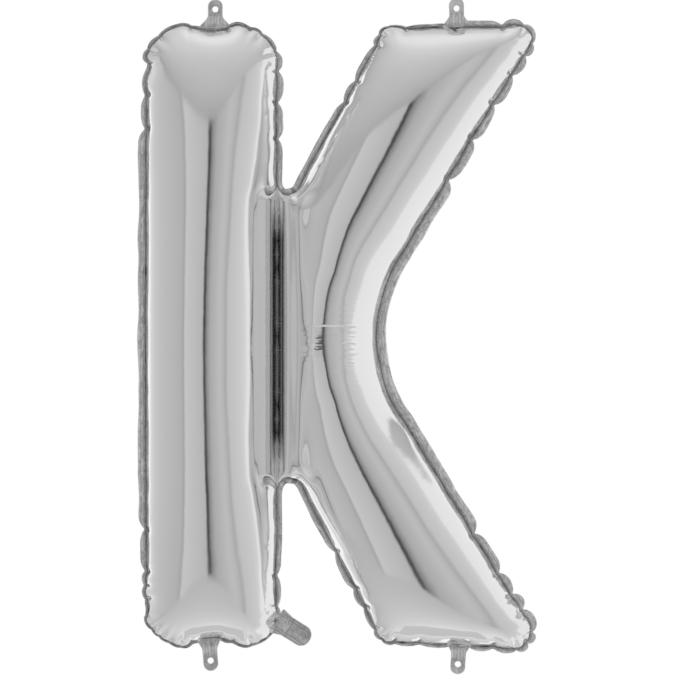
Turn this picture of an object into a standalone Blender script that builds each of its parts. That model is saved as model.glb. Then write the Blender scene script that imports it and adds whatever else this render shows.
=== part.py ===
"""A letter K foil balloon, blown up: two panels of film welded together round the edge of the letter.

Metres, +Z up. The letter stands upright and faces -Y, with its weld in the plane Y = 0. The origin is the
middle of the air inside it. Each panel is a round shell that ends in a flat rim. Both rims rest on the
welded margin, a flat band that follows the outline and stands out past it. Four hanging tabs and the
inflation tail grow from the margin, and a flat valve film lies in the tail.
"""

import math

import bmesh
import bpy
import numpy as np
from mathutils import Vector
from mathutils.geometry import delaunay_2d_cdt

# The weld line, as corners (x, z, fillet radius) from the foot of the stem clockwise.
STEM_LEFT, STEM_RIGHT = -0.2196, -0.0266
STEM_TOP, STEM_FOOT = 0.451, -0.449
UPPER_NOTCH, LOWER_NOTCH = 0.160, -0.152
CROTCH_X, CROTCH_Z = 0.0844, -0.002
WELD_CORNERS = [
    (STEM_LEFT, STEM_FOOT, 0.051),
    (STEM_LEFT, STEM_TOP, 0.058),
    (STEM_RIGHT, STEM_TOP, 0.058),
    (STEM_RIGHT, UPPER_NOTCH, 0.0146),
    (0.1284, 0.4495, 0.026),
    (0.3624, 0.4555, 0.0235),
    (CROTCH_X, CROTCH_Z, 0.202),
    (0.3679, -0.462, 0.029),
    (0.1254, -0.4475, 0.038),
    (STEM_RIGHT, LOWER_NOTCH, 0.0168),
    (STEM_RIGHT, STEM_FOOT, 0.044),
]
LETTER_RIGHT = 0.375
UPPER_ARM_TOP = (4, 5)  # the corners at the two ends of the upper arm's top edge
LOWER_ARM_FOOT = (7, 8)

PANEL_WALL = 0.011
MARGIN_OUT = 0.011  # how far the welded margin stands out past the weld line
MARGIN_IN = 0.009  # how far it reaches in under the panels' rims
MARGIN_THICK = 0.003
SEAT_GAP = 0.0003
RIM_PLANE = MARGIN_THICK / 2 + SEAT_GAP

# The crease between stem and arms runs from notch to notch, and stays close to the weld plane.
CREASE_END = 0.2065
CREASE_BEND = 0.012
CREASE_HEIGHT = 0.008
CREASE_WEB = 0.011  # half the width of the air's low neck under the crease

# Foil doesn't stretch, so it stands lower than a round tube of film, and lowest at the ends of the limbs.
FOIL_FILL = 0.925
FOIL_DROOP, DROOP_FROM_Z = 3.5, 0.150

# Between two puckers the margin's edge bulges out. Only the ends of the limbs are puckered.
PUCKER_PITCH = 0.030
PUCKER_DEPTH = 0.0045
PUCKER_FROM_Z = 0.385

TAB_WIDTH, TAB_LENGTH, TAB_THICK = 0.022, 0.029, 0.002
TAB_HOLE_RADIUS, TAB_HOLE_FROM_TIP = 0.004, 0.0145
TAB_ROOT_WIDTH, TAB_ROOT_FILLET = 0.036, 0.009
LEFT_TABS_X = (-0.1166, -0.1246)  # top, bottom
RIGHT_TABS_X = (0.2364, 0.2394)

TAIL_ROOT = (-0.0221, -0.4184)
TAIL_SLOPE = math.radians(-32)
TAIL_WIDTH, TAIL_REACH = 0.030, 0.050
TAIL_INSIDE = 0.020  # how far the tail runs in from the weld line, through the margin
TAIL_STEP_AT, TAIL_STEP = 0.014, 0.0003  # within the margin the tail is a little thinner on each face
TAIL_SLOT_WIDTH, TAIL_SLOT_HEIGHT = 0.021, 0.0014
VALVE_WIDTH, VALVE_THICK = 0.0204, 0.0008
VALVE_INSIDE = 0.110
VALVE_SHORT_OF_MOUTH = 0.003

ARC_STEP = math.radians(13)
STRAIGHT_STEP = 0.040
FILM_RINGS, FILM_GRID = (0.0, -0.0012, -0.006, -0.017), 0.029
AIR_RINGS, AIR_GRID = (0.0, -0.0025, -0.012), 0.036
CREASE_RAILS = (0.003, 0.011, 0.026)
CREASE_STEP = 0.018
THINNEST_AIR = 0.0008


def corner_turn(before, at, after):
    """How sharply an outline turns at a corner: positive to the left."""
    a, b = Vector(at) - Vector(before), Vector(after) - Vector(at)
    return math.atan2(a.x * b.y - a.y * b.x, a.dot(b))


def offset_corners(corners, offset):
    """The outline's corners moved out by offset, with fillets that stay parallel. It runs clockwise."""
    moved = []
    for i, (x, z, radius) in enumerate(corners):
        before, after = corners[i - 1][:2], corners[(i + 1) % len(corners)][:2]
        turn = corner_turn(before, (x, z), after)
        into = (Vector((x, z)) - Vector(before)).normalized()
        outward = Vector((-into.y, into.x))
        corner = Vector((x, z)) + offset * (outward + into * math.tan(-turn / 2))
        moved.append((corner, max(radius + (offset if turn < 0 else -offset), 0.0015), turn))
    return moved


def outline(corners, offset=0.0, straight_step=STRAIGHT_STEP, arc_step=ARC_STEP):
    """Points along a filleted outline, moved out by offset."""
    moved = offset_corners(corners, offset)
    arcs = []
    for i, (corner, radius, turn) in enumerate(moved):
        into = (corner - moved[i - 1][0]).normalized()
        out_of = (moved[(i + 1) % len(moved)][0] - corner).normalized()
        reach = radius * math.tan(abs(turn) / 2)
        side = 1 if turn > 0 else -1
        centre = corner - into * reach + side * radius * Vector((-into.y, into.x))
        start = corner - into * reach - centre
        steps = max(3, round(abs(turn) / arc_step))
        spins = (turn * k / steps for k in range(steps + 1))
        arc = [centre + Vector((start.x * math.cos(a) - start.y * math.sin(a),
                                start.x * math.sin(a) + start.y * math.cos(a))) for a in spins]
        arc[-1] = corner + out_of * reach
        arcs.append(arc)
    points = []
    for i, arc in enumerate(arcs):
        points += arc
        gap = arcs[(i + 1) % len(arcs)][0] - arc[-1]
        steps = max(1, round(gap.length / straight_step))
        points += [arc[-1] + gap * k / steps for k in range(1, steps)]
    return points


def distance_to(points, loop):
    """Each point's distance from a closed outline."""
    a = np.array(loop)
    b = np.roll(a, -1, axis=0)
    run = b - a
    offsets = points[:, None, :] - a[None]
    along = np.clip((offsets * run).sum(2) / (run * run).sum(1), 0, 1)
    return np.linalg.norm(offsets - along[..., None] * run, axis=2).min(1)


def inside(points, loop):
    """Which points lie inside a closed outline."""
    found = np.zeros(len(points), bool)
    for (ax, az), (bx, bz) in zip(loop, loop[1:] + loop[:1]):
        crosses = (az > points[:, 1]) != (bz > points[:, 1])
        at = ax + (points[:, 1] - az) * (bx - ax) / (bz - az if bz != az else 1.0)
        found ^= crosses & (points[:, 0] < at)
    return found


def crease_x(z):
    """The crease follows the stem's side, and bends to meet the bottom of each notch."""
    return STEM_RIGHT + CREASE_BEND * abs(z / CREASE_END) ** 6


def crease_height(z):
    """How far the crease's bottom stands off the weld plane: none at the notches, level between them."""
    return CREASE_HEIGHT * math.sqrt(max(0.0, 1 - abs(z / CREASE_END) ** 8))


def foil_fill(z):
    """The foil's height as a share of a round tube's."""
    return FOIL_FILL - FOIL_DROOP * max(0.0, abs(z) - DROOP_FROM_Z) ** 2


def letter_net(inset, ring_offsets, grid_step, crease_limit, web):
    """A triangle net over the letter, inset from its weld line.

    Returns its points, triangles, the edge's points in order, and the points with a set height.
    """
    rings = [outline(WELD_CORNERS, offset - inset) for offset in ring_offsets]
    edge = rings[0]
    clear_of_edge = 0.6 * grid_step - ring_offsets[-1]
    clear_of_crease = CREASE_RAILS[-1] + 0.5 * grid_step
    crease_z = np.linspace(-CREASE_END, CREASE_END, round(2 * CREASE_END / CREASE_STEP) + 1)
    crease = np.array([(crease_x(z), z) for z in crease_z])
    rails = np.array([(crease_x(z) + side * rail, z)
                      for rail in CREASE_RAILS for side in (-1, 1) for z in crease_z])
    columns = np.arange(STEM_LEFT, LETTER_RIGHT, grid_step)
    rows = np.arange(STEM_FOOT, STEM_TOP, grid_step * math.sqrt(3) / 2)
    grid = np.array([(x + (k % 2) * grid_step / 2, z) for k, z in enumerate(rows) for x in columns])
    near_crease = (abs(grid[:, 0] - STEM_RIGHT) < clear_of_crease) & (abs(grid[:, 1]) < CREASE_END)
    grid = grid[inside(grid, edge) & (distance_to(grid, edge) > clear_of_edge) & ~near_crease]
    crease = crease[inside(crease, edge) & (distance_to(crease, edge) > 0.002)]
    rails = rails[inside(rails, edge) & (distance_to(rails, edge) > 0.004)]
    points = [Vector(p) for ring in rings for p in ring]
    first_crease, last_crease = len(points), len(points) + len(crease)
    points += [Vector(p) for p in crease] + [Vector(p) for p in rails] + [Vector(p) for p in grid]
    n = len(edge)
    kept_edges = [(i, (i + 1) % n) for i in range(n)]
    kept_edges += [(i, i + 1) for i in range(first_crease, last_crease - 1)]
    found, _, faces, sources, _, _ = delaunay_2d_cdt(points, kept_edges, [list(range(n))], 1, 1e-6)
    flat = np.array([tuple(p) for p in found])
    triangles = np.array([f for f in faces if len(f) == 3])
    place = {s: i for i, source in enumerate(sources) for s in source}
    rim = [place[i] for i in range(n)]
    heights = {i: 0.0 for i in rim}
    for s in range(first_crease, last_crease + len(rails)):
        x, z = points[s]
        if abs(x - crease_x(z)) <= web:
            heights[place[s]] = min(max(crease_height(z), THINNEST_AIR), crease_limit)
    return flat, triangles, rim, heights


def air_heights(flat, triangles, heights):
    """How far the air pushes a panel off the weld plane at each point.

    A film stretched over the letter and loaded evenly takes heights u with a constant Laplacian, and
    sqrt(2 u) is then exactly a half circle across a straight limb, as a round tube of film has.
    """
    n = len(flat)
    stiffness, load = np.zeros((n, n)), np.zeros(n)
    for triangle in triangles:
        p = flat[triangle]
        area = abs(np.linalg.det([p[1] - p[0], p[2] - p[0]])) / 2
        load[triangle] += area / 3
        for k in range(3):
            i, j = triangle[(k + 1) % 3], triangle[(k + 2) % 3]
            a, b = p[(k + 1) % 3] - p[k], p[(k + 2) % 3] - p[k]
            pull = a @ b / (4 * area)
            stiffness[i, i] += pull
            stiffness[j, j] += pull
            stiffness[i, j] -= pull
            stiffness[j, i] -= pull
    held = np.array(sorted(heights))
    free = np.setdiff1d(np.arange(n), held)
    u = np.zeros(n)
    u[held] = [heights[i] ** 2 / 2 for i in held]
    right = load[free] - stiffness[np.ix_(free, held)] @ u[held]
    u[free] = np.linalg.solve(stiffness[np.ix_(free, free)], right)
    return np.sqrt(2 * np.maximum(u, 0))


def material(name, colour, metallic, roughness):
    made = bpy.data.materials.new(name)
    made.use_nodes = True
    shader = made.node_tree.nodes["Principled BSDF"]
    shader.inputs["Base Color"].default_value = (*colour, 1)
    shader.inputs["Metallic"].default_value = metallic
    shader.inputs["Roughness"].default_value = roughness
    return made


def link(name, data, collection, finish):
    """Put an object in its collection. One with no finish is a hidden cutter."""
    made = bpy.data.objects.new(name, data)
    if finish:
        data.materials.append(finish)
    else:
        made.hide_render = True
        made.display_type = "WIRE"
    collection.objects.link(made)
    return made


def cutter_box(name, cutters, size, centre, slope=0.0):
    """A hidden block for a Boolean, turned by slope about Y."""
    mesh = bpy.data.meshes.new(name)
    bm = bmesh.new()
    bmesh.ops.create_cube(bm, size=1.0)
    bmesh.ops.scale(bm, vec=size, verts=bm.verts)
    bm.to_mesh(mesh)
    bm.free()
    box = link(name, mesh, cutters, None)
    box.location = centre
    box.rotation_euler = (0, -slope, 0)
    return box


def cut(body, cutter):
    modifier = body.modifiers.new("cut_" + cutter.name, "BOOLEAN")
    modifier.operation = "DIFFERENCE"
    modifier.solver = "EXACT"
    modifier.object = cutter


def dome(name, side, net, base, collection, finish):
    """A solid over the letter with a flat underside, as high as the air pushes the film."""
    flat, triangles, rim, held = net
    heights = [h * foil_fill(z) for h, (x, z) in zip(air_heights(flat, triangles, held), flat)]
    bm = bmesh.new()
    top = [bm.verts.new((x, side * (RIM_PLANE + h), z)) for (x, z), h in zip(flat, heights)]
    for triangle in triangles:
        bm.faces.new([top[i] for i in triangle])
    under = [top[i] for i in rim]
    if base:
        under = [bm.verts.new((flat[i][0], side * (RIM_PLANE - base), flat[i][1])) for i in rim]
        for k, i in enumerate(rim):
            bm.faces.new((top[i], top[rim[k - 1]], under[k - 1], under[k]))
    bm.faces.new(under)
    bmesh.ops.recalc_face_normals(bm, faces=bm.faces)
    mesh = bpy.data.meshes.new(name)
    bm.to_mesh(mesh)
    bm.free()
    return link(name, mesh, collection, finish)


def panel(name, side, film_net, air_net, collection, cutters, finish):
    """One film panel: a domed shell whose rim is a flat band that rests on the margin."""
    made = dome(name, side, film_net, 0.0, collection, finish)
    made.data.shade_smooth()
    cut(made, dome(name + "_air", side, air_net, 2 * RIM_PLANE, cutters, None))


def plate(name, loop, thick, collection, finish):
    """A flat piece in the weld plane, from its outline in X and Z."""
    bm = bmesh.new()
    front = [bm.verts.new((x, -thick / 2, z)) for x, z in loop]
    back = [bm.verts.new((x, thick / 2, z)) for x, z in loop]
    bm.faces.new(front)
    bm.faces.new(back)
    for k in range(len(loop)):
        bm.faces.new((front[k - 1], front[k], back[k], back[k - 1]))
    bmesh.ops.recalc_face_normals(bm, faces=bm.faces)
    mesh = bpy.data.meshes.new(name)
    bm.to_mesh(mesh)
    bm.free()
    return link(name, mesh, collection, finish)


def pucker(point, tab_places):
    """How far the margin's edge is drawn in at a point: nothing beside a tab or along a limb."""
    if abs(point.y) < PUCKER_FROM_Z or any((point - Vector(p)).length < TAB_ROOT_WIDTH for p in tab_places):
        return 0.0
    along = point.x + point.y
    return PUCKER_DEPTH * (1 - math.sqrt(abs(math.sin(math.pi * along / PUCKER_PITCH))))


def margin(collection, cutters, finish, tab_places):
    """The welded band round the whole letter, open where the tail passes through it."""
    outer = outline(WELD_CORNERS, MARGIN_OUT, straight_step=0.0075, arc_step=math.radians(8))
    edge = []
    for i, point in enumerate(outer):
        along = (outer[(i + 1) % len(outer)] - outer[i - 1]).normalized()
        inward = Vector((along.y, -along.x))
        edge.append(point + inward * pucker(point, tab_places))
    kept = [p for i, p in enumerate(edge) if abs(p.y) > PUCKER_FROM_Z - 0.01 or i % 3 == 0
            or abs(corner_turn(edge[i - 1], p, edge[(i + 1) % len(edge)])) > 0.02]
    inner = outline(WELD_CORNERS, -MARGIN_IN)
    band = plate("seam_margin", kept, MARGIN_THICK, collection, finish)
    cut(band, plate("margin_middle", inner, 3 * MARGIN_THICK, cutters, None))
    along = Vector((math.cos(TAIL_SLOPE), math.sin(TAIL_SLOPE)))
    middle = Vector(TAIL_ROOT) + along * (TAIL_REACH - TAIL_INSIDE) / 2
    length = TAIL_REACH + TAIL_INSIDE + 0.02
    size = (length, 3 * MARGIN_THICK, TAIL_WIDTH + 2 * SEAT_GAP)
    cut(band, cutter_box("tail_gap", cutters, size, (middle.x, 0, middle.y), TAIL_SLOPE))


def tab(name, root, up, collection, cutters, finish):
    """A hanging tab: a flared root on the margin's edge, a round tip and a punched hole."""
    up = Vector(up).normalized()
    across = Vector((up.y, -up.x))
    half, tip = TAB_WIDTH / 2, TAB_LENGTH - TAB_WIDTH / 2
    flare = TAB_ROOT_WIDTH / 2 - half
    right_foot = [(half + flare * (1 - math.sin(a)), TAB_ROOT_FILLET * (1 - math.cos(a)))
                  for a in np.linspace(0, math.pi / 2, 6)]
    round_tip = [(half * math.cos(a), tip + half * math.sin(a)) for a in np.linspace(0, math.pi, 17)]
    left_foot = [(-x, z) for x, z in reversed(right_foot)]
    start = Vector(root) + up * SEAT_GAP
    edge = [start + across * x + up * z for x, z in right_foot + round_tip + left_foot]
    hole_at = start + up * (TAB_LENGTH - TAB_HOLE_FROM_TIP)
    hole = [hole_at + TAB_HOLE_RADIUS * Vector((math.cos(a), math.sin(a)))
            for a in np.linspace(0, 2 * math.pi, 24, endpoint=False)]
    made = plate(name, edge, TAB_THICK, collection, finish)
    cut(made, plate(name + "_hole", hole, 3 * TAB_THICK, cutters, None))


def along_edge(ends, x):
    """The point of a straight weld edge at x, moved out to the margin's edge, and the way out there."""
    a, b = (Vector(WELD_CORNERS[i][:2]) for i in ends)
    out = Vector((-(b - a).y, (b - a).x)).normalized()
    point = a + (b - a) * (x - a.x) / (b - a).x
    return point + out * MARGIN_OUT, out


def stadium(start, end, width):
    """An outline round two points, square at the start and round at the end."""
    start, end = Vector(start), Vector(end)
    along = (end - start).normalized()
    left = Vector((-along.y, along.x))
    half = width / 2
    middle = end - along * half
    tip = [middle + half * (along * math.sin(a) + left * math.cos(a)) for a in np.linspace(0, math.pi, 15)]
    return [start + left * half, *tip, start - left * half]


def tail(collection, cutters, film, clear_film):
    """The inflation tail, a flat welded sleeve open at its tip, and the valve film that lines it."""
    along = Vector((math.cos(TAIL_SLOPE), math.sin(TAIL_SLOPE)))
    root = Vector(TAIL_ROOT)
    tip = root + along * TAIL_REACH
    sleeve_loop = stadium(root - along * TAIL_INSIDE, tip, TAIL_WIDTH)
    sleeve = plate("inflation_tail", sleeve_loop, MARGIN_THICK, collection, film)
    middle = root + along * (TAIL_REACH - TAIL_INSIDE) / 2
    slot_size = (2 * (TAIL_REACH + TAIL_INSIDE), TAIL_SLOT_HEIGHT, TAIL_SLOT_WIDTH)
    cut(sleeve, cutter_box("tail_slot", cutters, slot_size, (middle.x, 0, middle.y), TAIL_SLOPE))
    covered = TAIL_STEP_AT + 2 * TAIL_INSIDE
    at = root + along * (TAIL_STEP_AT - covered / 2)
    for name, side in (("tail_step_front", -1), ("tail_step_back", 1)):
        y = side * (MARGIN_THICK - TAIL_STEP)
        size = (covered, MARGIN_THICK, 2 * TAIL_WIDTH)
        cut(sleeve, cutter_box(name, cutters, size, (at.x, y, at.y), TAIL_SLOPE))
    half = VALVE_WIDTH / 2
    left = Vector((-along.y, along.x))
    inner, outer = root - along * VALVE_INSIDE, tip - along * (VALVE_SHORT_OF_MOUTH + half)
    valve_loop = [inner + left * half, outer + left * half, outer - left * half, inner - left * half]
    plate("valve_film", valve_loop, VALVE_THICK, collection, clear_film)


def main():
    for old in list(bpy.data.objects):
        bpy.data.objects.remove(old)
    letter = bpy.data.collections.new("letter_foil_balloon")
    cutters = bpy.data.collections.new("cutters")
    for collection in (letter, cutters):
        bpy.context.scene.collection.children.link(collection)
    foil = material("silver_foil", (0.80, 0.80, 0.81), 1.0, 0.08)
    margin_foil = material("margin_foil", (0.66, 0.66, 0.67), 1.0, 0.22)
    clear_film = material("valve_film", (0.88, 0.90, 0.92), 0.0, 0.25)

    film_net = letter_net(0.0, FILM_RINGS, FILM_GRID, CREASE_HEIGHT, 1e-6)
    air_net = letter_net(PANEL_WALL, AIR_RINGS, AIR_GRID, THINNEST_AIR, CREASE_WEB + 1e-6)
    panel("front_panel", -1, film_net, air_net, letter, cutters, foil)
    panel("back_panel", 1, film_net, air_net, letter, cutters, foil)

    stem_top, stem_foot = (1, 2), (10, 0)
    tabs = {
        "hang_tab_top_left": along_edge(stem_top, LEFT_TABS_X[0]),
        "hang_tab_top_right": along_edge(UPPER_ARM_TOP, RIGHT_TABS_X[0]),
        "hang_tab_bottom_left": along_edge(stem_foot, LEFT_TABS_X[1]),
        "hang_tab_bottom_right": along_edge(LOWER_ARM_FOOT, RIGHT_TABS_X[1]),
    }
    margin(letter, cutters, margin_foil, [tuple(root) for root, _ in tabs.values()])
    for name, (root, up) in tabs.items():
        tab(name, root, up, letter, cutters, margin_foil)
    tail(letter, cutters, margin_foil, clear_film)


main()
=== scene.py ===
"""Looks for the letter foil balloon: inflated foil, crinkled heat-seal margin, tabs and tail."""
import math

import bpy
import numpy as np
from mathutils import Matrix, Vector
from mathutils.bvhtree import BVHTree
from mathutils.geometry import delaunay_2d_cdt
from mathutils.kdtree import KDTree


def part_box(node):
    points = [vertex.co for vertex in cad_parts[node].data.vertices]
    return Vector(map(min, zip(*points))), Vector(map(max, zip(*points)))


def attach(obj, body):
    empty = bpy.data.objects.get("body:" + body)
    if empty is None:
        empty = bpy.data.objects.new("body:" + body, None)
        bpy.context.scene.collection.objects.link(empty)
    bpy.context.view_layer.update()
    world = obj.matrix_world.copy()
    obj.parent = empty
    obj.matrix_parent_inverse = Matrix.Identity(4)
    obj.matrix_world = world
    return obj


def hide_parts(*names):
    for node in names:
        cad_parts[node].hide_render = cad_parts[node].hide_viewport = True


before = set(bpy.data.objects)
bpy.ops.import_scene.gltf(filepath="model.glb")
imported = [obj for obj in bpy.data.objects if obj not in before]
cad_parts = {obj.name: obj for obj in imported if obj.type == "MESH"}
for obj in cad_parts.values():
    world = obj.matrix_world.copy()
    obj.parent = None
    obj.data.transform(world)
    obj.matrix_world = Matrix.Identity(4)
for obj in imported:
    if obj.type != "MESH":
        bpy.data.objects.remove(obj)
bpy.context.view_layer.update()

# The weld line of the filled letter: corner x, corner z and fillet radius, clockwise from the stem's foot
WELD = [
    (-0.2196, -0.4490, 0.0510), (-0.2196, 0.4510, 0.0580), (-0.0266, 0.4510, 0.0580),
    (-0.0266, 0.1600, 0.0146), (0.1284, 0.4495, 0.0260), (0.3624, 0.4555, 0.0235),
    (0.0844, -0.0020, 0.2020), (0.3679, -0.4620, 0.0290), (0.1254, -0.4475, 0.0380),
    (-0.0266, -0.1520, 0.0168), (-0.0266, -0.4490, 0.0440),
]
# The same corners in the flat sheets before filling, and how far the side after each one bows out
FLAT = [
    (-0.280, -0.475, 0.085, 0.045), (-0.280, 0.475, 0.085, -0.005), (-0.065, 0.468, 0.085, 0.004),
    (-0.008, 0.183, 0.014, 0.006), (0.133, 0.477, 0.045, 0.001), (0.383, 0.517, 0.040, 0.008),
    (0.224, -0.002, 0.200, 0.008), (0.385, -0.523, 0.045, 0.001), (0.130, -0.472, 0.055, 0.005),
    (-0.008, -0.177, 0.016, 0.003), (-0.063, -0.468, 0.075, -0.008),
]
UPPER_NOTCH = 3
LOWER_NOTCH = 9
# The heat of the straight weld between the notches draws the foil together along it
TIE_SHRINK = 0.06
TIE_REACH = 0.05
# The stem's and the arms' foil meet between the notches and stay this far to their own side
TOUCH = 0.0004
# How far the margin stands out in the flat sheets, and the distance between points of the first net
MARGIN = 0.012
COARSE = 0.020
# How far from a side's ends it reaches its full bow, and the smallest fillet
BOW_REACH = 0.16
LEAST_FILLET = 0.0015

# Photograph: pixel size in metres, the pixel that shows the frame's origin, and its size in pixels
PIXEL = 0.001461
ORIGIN_PX = (295.14, 335.63)
PHOTO_SIZE = 675
# Far enough away to show the letter without perspective
CAMERA_AWAY = 6.0


def at_pixel(px, py, depth=0.0):
    return ((px - ORIGIN_PX[0]) * PIXEL, depth, (ORIGIN_PX[1] - py) * PIXEL)


# Outlines

def turn_at(a, b, c):
    u, v = b - a, c - b
    return math.atan2(u[0] * v[1] - u[1] * v[0], u @ v)


def run_counts(corners, step):
    """How many steps each fillet and each side of an outline takes."""
    points = [np.array(c[:2]) for c in corners]
    count = len(points)
    turns = [turn_at(points[i - 1], points[i], points[(i + 1) % count]) for i in range(count)]
    arcs = [max(2, round(abs(t) * c[2] / step)) for t, c in zip(turns, corners)]
    sides = []
    for i in range(count):
        j = (i + 1) % count
        cut = corners[i][2] * math.tan(abs(turns[i]) / 2) + corners[j][2] * math.tan(abs(turns[j]) / 2)
        sides.append(max(1, round((np.linalg.norm(points[j] - points[i]) - cut) / step)))
    return arcs, sides


def outline(corners, offset, steps):
    """Points along a filleted outline moved out by offset, and the numbers of each fillet's two ends."""
    arc_steps, side_steps = steps
    count = len(corners)
    points = [np.array(c[:2]) for c in corners]
    moved, radii, turns = [], [], []
    for i in range(count):
        a, b, c = points[i - 1], points[i], points[(i + 1) % count]
        turn = turn_at(a, b, c)
        into = (b - a) / np.linalg.norm(b - a)
        out = np.array([-into[1], into[0]])
        moved.append(b + offset * (out + into * math.tan(-turn / 2)))
        radii.append(max(corners[i][2] + (offset if turn < 0 else -offset), LEAST_FILLET))
        turns.append(turn)
    arcs = []
    for i in range(count):
        into = moved[i] - moved[i - 1]
        into /= np.linalg.norm(into)
        start_point = moved[i] - into * radii[i] * math.tan(abs(turns[i]) / 2)
        centre = start_point + math.copysign(radii[i], turns[i]) * np.array([-into[1], into[0]])
        spoke = start_point - centre
        angle = turns[i] * np.arange(arc_steps[i] + 1) / arc_steps[i]
        arcs.append(centre + np.stack([spoke[0] * np.cos(angle) - spoke[1] * np.sin(angle),
                                       spoke[0] * np.sin(angle) + spoke[1] * np.cos(angle)], 1))
    loop, fillets = [], []
    for i, arc in enumerate(arcs):
        fillets.append((len(loop), len(loop) + arc_steps[i]))
        loop += list(arc)
        run = arcs[(i + 1) % count][0] - arc[-1]
        length = np.linalg.norm(run)
        out = np.array([-run[1], run[0]]) / length
        reach = min(BOW_REACH, length / 2)
        bow = corners[i][3] if len(corners[i]) > 3 else 0.0
        for k in range(1, side_steps[i]):
            t = k / side_steps[i]
            rise = 1 - (1 - min(min(t, 1 - t) * length / reach, 1)) ** 2
            loop.append(arc[-1] + run * t + out * bow * rise)
    return np.array(loop), fillets


def inside(points, loop):
    found = np.zeros(len(points), bool)
    for (ax, az), (bx, bz) in zip(loop, np.roll(loop, -1, 0)):
        if az != bz:
            spans = (az > points[:, 1]) != (bz > points[:, 1])
            found ^= spans & (points[:, 0] < ax + (points[:, 1] - az) * (bx - ax) / (bz - az))
    return found


def distance_to(points, line, closed=True):
    a = line if closed else line[:-1]
    b = np.roll(line, -1, 0) if closed else line[1:]
    run = b - a
    best = np.full(len(points), np.inf)
    for k in range(0, len(points), 2000):
        away = points[k:k + 2000, None] - a
        t = np.clip((away * run).sum(2) / (run * run).sum(1), 0, 1)
        best[k:k + 2000] = np.linalg.norm(away - t[..., None] * run, axis=2).min(1)
    return best


# The flat sheets

def triangle_sides(faces):
    return np.concatenate([faces[:, [0, 1]], faces[:, [1, 2]], faces[:, [2, 0]]])


def unique_sides(faces):
    return np.unique(np.sort(triangle_sides(faces), 1), axis=0)


def in_four(faces, middle):
    """Each triangle in four; middle numbers the new points on all first, then second, then third sides."""
    a, b, c = faces.T
    ab, bc, ca = np.split(middle, 3)
    return np.concatenate([np.stack(t, 1) for t in ((a, ab, ca), (ab, b, bc), (ca, bc, c), (ab, bc, ca))])


def sums_at(numbers, values, count):
    """The rows of values, added up by their numbers."""
    return np.stack([np.bincount(numbers, column, count) for column in values.T], 1)


def triangulate(points, kept, border):
    """A net inside the border that keeps the given sides: points, triangles and each point's sources."""
    out, _, faces, source, _, _ = delaunay_2d_cdt([Vector(p) for p in points], kept, [border], 1, 1e-9)
    return np.array([tuple(p) for p in out]), np.array([f for f in faces if len(f) == 3]), source


def ray_tree(points, faces):
    return BVHTree.FromPolygons([Vector(p) for p in points], faces.tolist())


# Rounds that spread a shift of the outline over the flat net
SOLVER_ROUNDS = 150


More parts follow.
